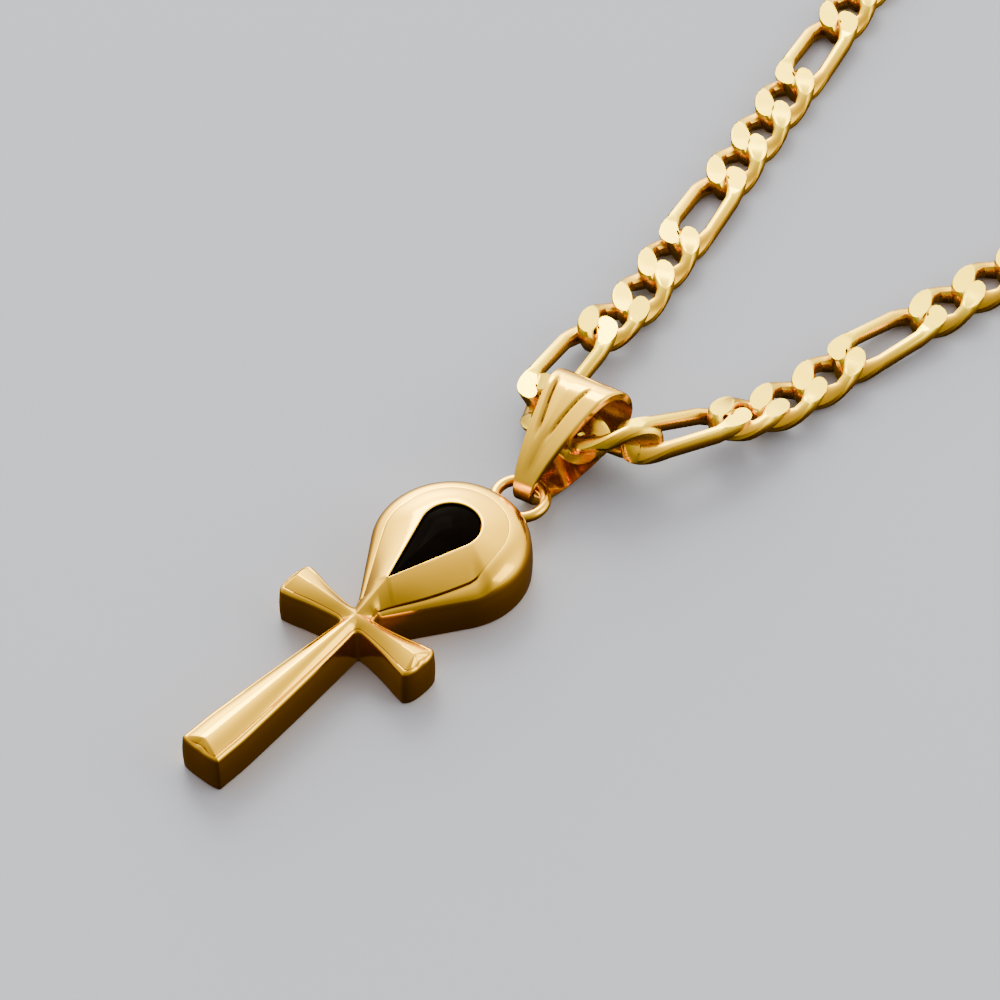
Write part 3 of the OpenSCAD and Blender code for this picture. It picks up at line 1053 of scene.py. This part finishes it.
@dataclass
class FigaroChain:
    """The flat-cut figaro chain: three short links and a long one, in two sides."""

    gold: bpy.types.Material
    short_pitch: float = 3.16
    long_pitch: float = 5.52
    link_w: float = 3.0
    shank_w: float = 0.78
    head_w: float = 1.42
    shank_h: float = 0.95
    head_h: float = 1.1
    section: float = 0.86
    reach_over: float = 0.95
    flatness: float = 0.94
    thickness: float = 1.16
    floor_gap: float = 0.02
    twist: float = 58.0
    squareness: float = 1.2
    end_twist: float = 0.6
    # How dark the sides of each wire are painted, as painted shade
    painted_side_shade: float = 0.5
    patterns: int = 14
    stations: int = 44
    wire_sides: int = 14
    bail_y: float = 12.55
    clasp_pitch: float = 12.0
    sink_over: float = 9.0
    left_heading: float = 103.9
    right_heading: float = 79.4
    apex: tuple[float, float] = (0.92, -9.14)
    # Joints in and beside the bail from its tip, the roll of the link that starts there,
    # and whether it is a long one
    bail_joints: Sequence[tuple[float, float, float, float, bool]] = (
        (-4.85, 14.4, 0.95, 2, False),
        (-4.85, 11.4, 1.4, 0, True),
        (-4.05, 6.1, 1.3, 144, False),
        (-1.95, 4.35, 2.05, 117, False),
        (1.15, 4.3, 2.65, 58, False),
        (2.8, 5.95, 2.55, 10, True),
        (4.95, 10.9, 1.85, 8, False),
        (5.6, 13.15, 1.2, 1, False),
        (6.1, 16.15, 0.85, 0, False),
    )
    bail_links_left: int = 4

    def zone(self) -> list[Vector]:
        """Give the joints in and beside the bail."""
        return [Vector((j[0], j[1] + self.bail_y, j[2])) for j in self.bail_joints]

    def kinds(self, shorts: int) -> list[bool]:
        """List a strand's links from the bail, True for a long one."""
        return [False] * shorts + [True, False, False, False] * (self.patterns - 1)

    def pitch(self, long: bool) -> float:
        """Give the distance between the joints of a link."""
        return self.long_pitch if long else self.short_pitch

    def strands(self) -> tuple[list[Link], list[Link]]:
        """Lay both strands: straight from the bail, then round an arc to the clasp.

        Returns:
            The left strand's links and the right one's, each from the bail to the clasp.
        """
        zone = self.zone()
        apex = Vector((self.apex[0], self.apex[1] + self.bail_y))
        half_angle = math.radians(self.left_heading - self.right_heading) / 2
        middle = math.radians(self.left_heading + self.right_heading) / 2
        kinds = (self.kinds(2), self.kinds(1))
        total = sum(self.pitch(k) for side in kinds for k in side) + self.clasp_pitch
        total += (zone[0].xy - apex).length + (zone[-1].xy - apex).length
        radius = total / (2 / math.tan(half_angle) + math.pi + 2 * half_angle)
        tangent = radius / math.tan(half_angle)
        centre = apex + heading(middle) * radius / math.sin(half_angle)
        rest_z = self.thickness / 2 + self.floor_gap
        sides = []
        for first, side, turn in ((zone[0], kinds[0], 1), (zone[-1], kinds[1], -1)):
            straight = math.radians(self.left_heading if turn > 0 else self.right_heading)
            way = heading(straight)
            start = (first.xy - apex).dot(way)
            joints = [first]
            along = 0.0
            for long in side:
                along += self.pitch(long)
                reach = start + along
                if reach <= tangent:
                    flat = apex + way * reach
                else:
                    angle = straight + turn * (math.pi / 2 - (reach - tangent) / radius)
                    flat = centre + heading(angle) * radius
                raised = max(0.0, 1 - along / self.sink_over) * (first.z - rest_z)
                joints.append(Vector((flat.x, flat.y, rest_z + raised)))
            sides.append([Link(a, b, k) for a, b, k in zip(joints, joints[1:], side)])
        return sides[0], sides[1]

    def bail_links(self) -> list[Link]:
        """Lay the links in and beside the bail."""
        zone = self.zone()
        return [Link(a, b, j[4], j[3]) for a, b, j in zip(zone, zone[1:], self.bail_joints)]

    def tilt(self, x: float, half_l: float, pitch: float) -> float:
        """Give a link's twist at a place along it; a long link is twisted near its ends."""
        power = 1 + self.end_twist * (pitch - self.short_pitch)
        return -math.radians(self.twist) * signed_power(x / half_l, power)

    def link_mesh(self, name: str, pitch: float) -> bpy.types.Object:
        """Make one twisted link along X, cut flat above and below.

        Args:
            name: The object's name.
            pitch: Distance between its joints.

        Returns:
            An object to be repeated, which is removed later.
        """
        half_l = pitch / 2 + self.reach_over
        half_w = self.link_w / 2
        power = 2 / (2.5 + self.squareness * (pitch - self.short_pitch))
        shell = Shell()
        rings = []
        for i in range(self.stations):
            turn = 2 * math.pi * (i + 0.5) / self.stations
            c, s = math.cos(turn), math.sin(turn)
            outer = Vector((half_l * signed_power(c, power), half_w * signed_power(s, power)))
            steep = 2 - power
            out = Vector((signed_power(c, steep) / half_l, signed_power(s, steep) / half_w))
            out.normalize()
            # The wire is hammered wider where it stands highest before it is cut flat
            raised = abs(outer.y / half_w * math.sin(self.tilt(outer.x, half_l, pitch)))
            lift = ease(0, 0.62, raised)
            wide = self.shank_w + (self.head_w - self.shank_w) * lift
            high = self.shank_h + (self.head_h - self.shank_h) * lift
            middle = outer - out * wide / 2
            circle = []
            painted_wire_shade = []
            for j in range(self.wire_sides):
                angle = 2 * math.pi * j / self.wire_sides
                flat = middle + out * signed_power(math.cos(angle), self.section) * wide / 2
                up = signed_power(math.sin(angle), self.section) * high / 2
                tilt = self.tilt(flat.x, half_l, pitch)
                y = flat.y * math.cos(tilt) - up * math.sin(tilt)
                z = (flat.y * math.sin(tilt) + up * math.cos(tilt)) * self.flatness
                circle.append(Vector((flat.x, y, z)))
                # Painted shade: each wire is painted darker along its sides, half way up, and not near
                # its flat-cut faces
                level = abs(z) * 2 / self.thickness
                painted_wire_shade.append(self.painted_side_shade * (1 - ease(0.45, 0.95, level)))
            rings.append(shell.add_ring(circle, painted_wire_shade))
        shell.stack(rings + rings[:1])
        made = shell.build(name, self.gold, 180)
        work = bmesh.new()
        work.from_mesh(made.data)
        for side in (1, -1):
            cut = bmesh.ops.bisect_plane(
                work,
                geom=work.verts[:] + work.edges[:] + work.faces[:],
                plane_co=(0, 0, side * self.thickness / 2 * MM),
                plane_no=(0, 0, side),
                clear_outer=True,
            )
            rim = [e for e in cut["geom_cut"] if isinstance(e, bmesh.types.BMEdge)]
            bmesh.ops.holes_fill(work, edges=rim, sides=0)
        work.to_mesh(made.data)
        work.free()
        finish_mesh(made.data, 26)
        return made

    def laying_tree(self) -> bpy.types.GeometryNodeTree:
        """Build the node tree that lays links on points.

        Returns:
            The tree, with named inputs for both kinds of link, the metal and the variation.
        """
        tree = bpy.data.node_groups.new("lay_links", "GeometryNodeTree")
        inputs = {
            "Points": "Geometry",
            "Short Link": "Object",
            "Long Link": "Object",
            "Metal": "Material",
            "Tone Spread": "Float",
            "Seed": "Int",
        }
        for name, kind in inputs.items():
            tree.interface.new_socket(name, in_out="INPUT", socket_type=f"NodeSocket{kind}")
        tree.interface.new_socket("Chain", in_out="OUTPUT", socket_type="NodeSocketGeometry")
        graph = Graph(tree)
        given = tree.nodes.new("NodeGroupInput").outputs
        values = {s.name: Socket(graph, s) for s in given if s.name}
        points = graph.node("GeometryNodeMeshToPoints", None, {"Mesh": values["Points"]})
        turned, is_long = (
            graph.node("GeometryNodeInputNamedAttribute", {"data_type": kind}, {"Name": name})
            for name, kind in (("turned", "FLOAT_VECTOR"), ("is_long", "BOOLEAN"))
        )
        turn = graph.node("FunctionNodeEulerToRotation", None, {0: turned})
        is_short = graph.node("FunctionNodeBooleanMath", {"operation": "NOT"}, {0: is_long})
        laid = []
        for kind, chosen in (("Short Link", is_short), ("Long Link", is_long)):
            sockets = {"Object": values[kind]}
            shape = graph.node("GeometryNodeObjectInfo", None, sockets, "Geometry")
            sockets = {"Points": points, "Selection": chosen, "Instance": shape, "Rotation": turn}
            laid.append(graph.node("GeometryNodeInstanceOnPoints", None, sockets))
        both = graph.node("GeometryNodeJoinGeometry", None, {0: laid[0]})
        tree.links.new(laid[1].output, both.output.node.inputs[0])
        tone = graph.node(
            "FunctionNodeRandomValue",
            {"data_type": "FLOAT"},
            {3: values["Tone Spread"], "Seed": values["Seed"]},
            1,
        )
        toned = graph.node(
            "GeometryNodeStoreNamedAttribute",
            {"data_type": "FLOAT", "domain": "INSTANCE"},
            {"Geometry": both, "Name": "tone", "Value": tone},
        )
        solid = graph.node("GeometryNodeRealizeInstances", None, {"Geometry": toned})
        sockets = {"Geometry": solid, "Material": values["Metal"]}
        dressed = graph.node("GeometryNodeSetMaterial", None, sockets)
        graph.node("NodeGroupOutput", None, {"Chain": dressed})
        return tree

    def lay(
        self,
        name: str,
        links: Sequence[Link],
        tree: bpy.types.GeometryNodeTree,
        kinds: Sequence[bpy.types.Object],
        seed: int,
    ) -> bpy.types.Object:
        """Lay links and turn them into one plain mesh.

        Args:
            name: The piece's name.
            links: The links.
            tree: The laying tree.
            kinds: The short link and the long one.
            seed: Start of the random tones.

        Returns:
            The piece, before it rides on anything.
        """
        mesh = bpy.data.meshes.new(name)
        mesh.from_pydata([link.middle for link in links], [], [])
        turned = mesh.attributes.new("turned", "FLOAT_VECTOR", "POINT")
        is_long = mesh.attributes.new("is_long", "BOOLEAN", "POINT")
        for i, link in enumerate(links):
            turned.data[i].vector = link.frame().to_euler()
            is_long.data[i].value = link.long
        piece = add_object(name, mesh)
        layer = piece.modifiers.new("lay_links", "NODES")
        layer.node_group = tree
        given = {
            "Short Link": kinds[0],
            "Long Link": kinds[1],
            "Metal": self.gold,
            "Tone Spread": 1.0,
            "Seed": seed,
        }
        for item in tree.interface.items_tree:
            if item.in_out == "INPUT" and item.name in given:
                layer[item.identifier] = given[item.name]
        seen = bpy.context.evaluated_depsgraph_get()
        laid = bpy.data.meshes.new_from_object(
            piece.evaluated_get(seen), preserve_all_data_layers=True, depsgraph=seen
        )
        piece.modifiers.clear()
        piece.data = laid
        laid.name = name
        return piece

    def build(self) -> list[bpy.types.Object]:
        """Build both sides of the chain.

        Returns:
            The two finished pieces.
        """
        strands = self.strands()
        beside = self.bail_links()
        kinds = (
            self.link_mesh("short_link", self.short_pitch),
            self.link_mesh("long_link", self.long_pitch),
        )
        tree = self.laying_tree()
        cut = self.bail_links_left
        left = self.lay("left_links", strands[0] + beside[:cut], tree, kinds, 3)
        right = self.lay("right_links", strands[1] + beside[cut:], tree, kinds, 8)
        for kind in kinds:
            bpy.data.objects.remove(kind)
        sides = ((left, "chain_left"), (right, "chain_right"))
        return [place(piece, Slot.CHAIN, node) for piece, node in sides]


@dataclass
class Clasp:
    """The closed clasp behind the neck: a plain plate with a link in each end."""

    gold: bpy.types.Material
    chain: FigaroChain
    width: float = 3.6
    thickness: float = 1.5
    eye: float = 2.0
    edge_r: float = 0.25
    edge_steps: int = 6
    arc_steps: int = 24

    def plate(self, middle: Vector, ahead: Vector, half: float) -> Shell:
        """Make the plate, with round ends and rounded edges.

        Args:
            middle: Its middle.
            ahead: Its direction.
            half: Half of its length.

        Returns:
            The plate.
        """
        side = Vector((-ahead.y, ahead.x, 0))
        levels = []
        for k in range(self.edge_steps + 1):
            angle = math.pi / 2 * k / self.edge_steps
            levels.append((self.edge_r * (1 - math.sin(angle)), self.edge_r * (1 - math.cos(angle))))
        levels += [(inset, self.thickness - height) for inset, height in reversed(levels)]
        shell = Shell()
        rings = []
        for inset, height in levels:
            ring = []
            for way in (1, -1):
                for k in range(self.arc_steps + 1):
                    turn = heading(math.pi * (k / self.arc_steps - 0.5)) * (self.width / 2 - inset)
                    flat = ahead * (half - self.width / 2 + turn.x) + side * turn.y
                    ring.append(Vector((middle.x + way * flat.x, middle.y + way * flat.y, height)))
            rings.append(shell.add_ring(ring))
        shell.close(rings)
        return shell

    def build(self) -> bpy.types.Object:
        """Build the clasp between the strands' last joints.

        Returns:
            The finished piece.
        """
        left, right = self.chain.strands()
        start, end = left[-1].end, right[-1].end
        ahead = (end - start).normalized()
        shell = self.plate((start + end) / 2, ahead, (end - start).length / 2 - self.eye)
        made = shell.build("closed_clasp", self.gold, 35)
        kind = self.chain.link_mesh("clasp_link", self.chain.short_pitch)
        work = bmesh.new()
        work.from_mesh(made.data)
        for joint, way in ((start, ahead), (end, -ahead)):
            link = Link(joint, joint + way * self.chain.short_pitch, False)
            loose = kind.data.copy()
            loose.transform(Matrix.Translation(link.middle) @ link.frame().to_4x4())
            work.from_mesh(loose)
            bpy.data.meshes.remove(loose)
        work.to_mesh(made.data)
        work.free()
        bpy.data.objects.remove(kind)
        return place(made, Slot.CHAIN, "clasp")


@dataclass(frozen=True)
class Glow:
    """A soft bright patch of the room, seen only as a reflection and as soft light."""

    azimuth: float
    elevation: float
    sharpness: float
    strength: float


@dataclass(frozen=True)
class Lamp:
    """A square soft light that looks at the pendant, in degrees, metres and watts."""

    name: str
    azimuth: float
    elevation: float
    size: float
    power: float
    colour: Colour
    distance: float = 0.6

    def add(self, target: Vector) -> None:
        """Add the light to the scene.

        Args:
            target: The point that it looks at, in metres.
        """
        data = bpy.data.lights.new(self.name, "AREA")
        data.shape = "SQUARE"
        data.size = self.size
        data.energy = self.power
        data.color = self.colour
        light = add_object(self.name, data)
        away = sky(self.azimuth, self.elevation)
        light.location = target + away * self.distance
        light.rotation_euler = away.to_track_quat("Z", "Y").to_euler()
        light.visible_camera = False


@dataclass
class Studio:
    """The pale floor, soft lights and camera."""

    camera_at: tuple[float, float, float] = (98.0, -99.3, 161.3)
    look_at: tuple[float, float, float] = (-1.41, 12.44, 0.0)
    lens: float = 151.67
    floor_reach: float = 2500.0
    # Share of the way from straight down to straight up, and the room's radiance there
    room: Sequence[tuple[float, Colour]] = (
        (0.0, (0.03, 0.018, 0.01)),
        (0.14, (0.12, 0.08, 0.045)),
        (0.3, (0.34, 0.24, 0.145)),
        (0.47, (0.55, 0.4, 0.26)),
        (0.51, (1.3, 1.17, 0.98)),
        (0.6, (1.7, 1.62, 1.5)),
        (0.8, (1.6, 1.54, 1.44)),
        (1.0, (2.0, 1.92, 1.8)),
    )
    far_side: tuple[float, float, float] = (-0.6, 0.8, 0.0)
    glows: Sequence[Glow] = (Glow(136, 30, 5, 4.2), Glow(142, 14, 36, 8.0), Glow(44, 22, 10, 2.0))
    glow_colour: Colour = (0.97, 1.0, 0.8)
    lamps: Sequence[Lamp] = (
        Lamp("key", 141, 41, size=0.22, power=2.0, colour=(0.97, 0.98, 0.82)),
        Lamp("side", 30, 30, size=0.3, power=0.8, colour=(0.98, 0.96, 0.8)),
    )

    def add_floor(self) -> None:
        """Add the floor, which polished metal doesn't mirror."""
        shell = Shell()
        corners = [Vector((x, y, 0)) for x, y in ((-1, -1), (1, -1), (1, 1), (-1, 1))]
        shell.faces.append(shell.add_ring([p * self.floor_reach for p in corners]))
        floor = shell.build("floor", FloorFinish().material(), 180)
        floor.visible_glossy = False

    def add_camera(self) -> None:
        """Add the camera at the photograph's angle."""
        data = bpy.data.cameras.new("camera")
        data.lens = self.lens
        data.sensor_width = 36
        data.clip_start = 0.005
        data.clip_end = 20
        camera = add_object("camera", data)
        camera.location = Vector(self.camera_at) * MM
        way = Vector(self.look_at) - Vector(self.camera_at)
        camera.rotation_euler = way.to_track_quat("-Z", "Y").to_euler()
        bpy.context.scene.camera = camera

    def add_world(self) -> None:
        """Add the room, dark below and brightest beyond the pendant."""
        world = bpy.data.worlds.new("studio")
        world.use_nodes = True
        world.node_tree.nodes.clear()
        graph = Graph(world.node_tree)
        way = graph.node("ShaderNodeTexCoord", output="Generated")
        height = graph.node("ShaderNodeSeparateXYZ", None, {0: way}, "Z")
        sockets = {"Fac": height * 0.5 + 0.5}
        room = graph.node("ShaderNodeValToRGB", {"stops": self.room}, sockets, "Color")
        glow: Socket | float = 0.0
        for patch in self.glows:
            near = graph.facing(way, sky(patch.azimuth, patch.elevation))
            glow = glow + near.math("MAXIMUM", near, 0.0) ** patch.sharpness * patch.strength
        base = graph.background(room, graph.facing(way, self.far_side) * 0.45 + 0.57)
        patches = graph.background(self.glow_colour, glow)
        light = graph.node("ShaderNodeAddShader", None, {0: base, 1: patches})
        graph.node("ShaderNodeOutputWorld", None, {"Surface": light})
        bpy.context.scene.world = world

    def build(self) -> None:
        """Set up the studio."""
        self.add_world()
        self.add_floor()
        for lamp in self.lamps:
            lamp.add(Vector(self.look_at) * MM)
        self.add_camera()
        log.info("studio: floor, %d lights and camera", len(self.lamps))


def main() -> None:
    """Build every piece and the studio."""
    logging.basicConfig(level=logging.INFO, format="%(message)s")
    # The dark tone of each gold is the colour of its painted shade
    cast_gold = GoldFinish(
        name="polished_cast_gold",
        tone=(1.0, 0.58, 0.03),
        warm_tone=(1.0, 0.52, 0.012),
        painted_shade_tone=(0.12, 0.04, 0.006),
        roughness=0.15,
        wave_height=0.006,
        grain_height=0.0006,
    ).material()
    strip_gold = GoldFinish(
        name="polished_strip_gold",
        tone=(1.0, 0.6, 0.03),
        warm_tone=(1.0, 0.52, 0.012),
        painted_shade_tone=(0.11, 0.048, 0.007),
        roughness=0.13,
        wave_height=0.005,
        grain_height=0.0006,
    ).material()
    # Its dark tone is the colour of the painted shade on the wires' sides
    chain_gold = GoldFinish(
        name="flat_cut_gold",
        tone=(1.0, 0.73, 0.025),
        warm_tone=(1.0, 0.62, 0.012),
        painted_shade_tone=(0.5, 0.14, 0.008),
        roughness=0.17,
        wave_height=0.003,
        grain_height=0.0005,
        tone_varies=True,
    ).material()
    Ankh(cast_gold).build()
    Inlay(InlayFinish().material()).build()
    Bail(strip_gold).build()
    chain = FigaroChain(chain_gold)
    chain.build()
    Clasp(chain_gold, chain).build()
    Studio().build()


if __name__ == "__main__":
    main()
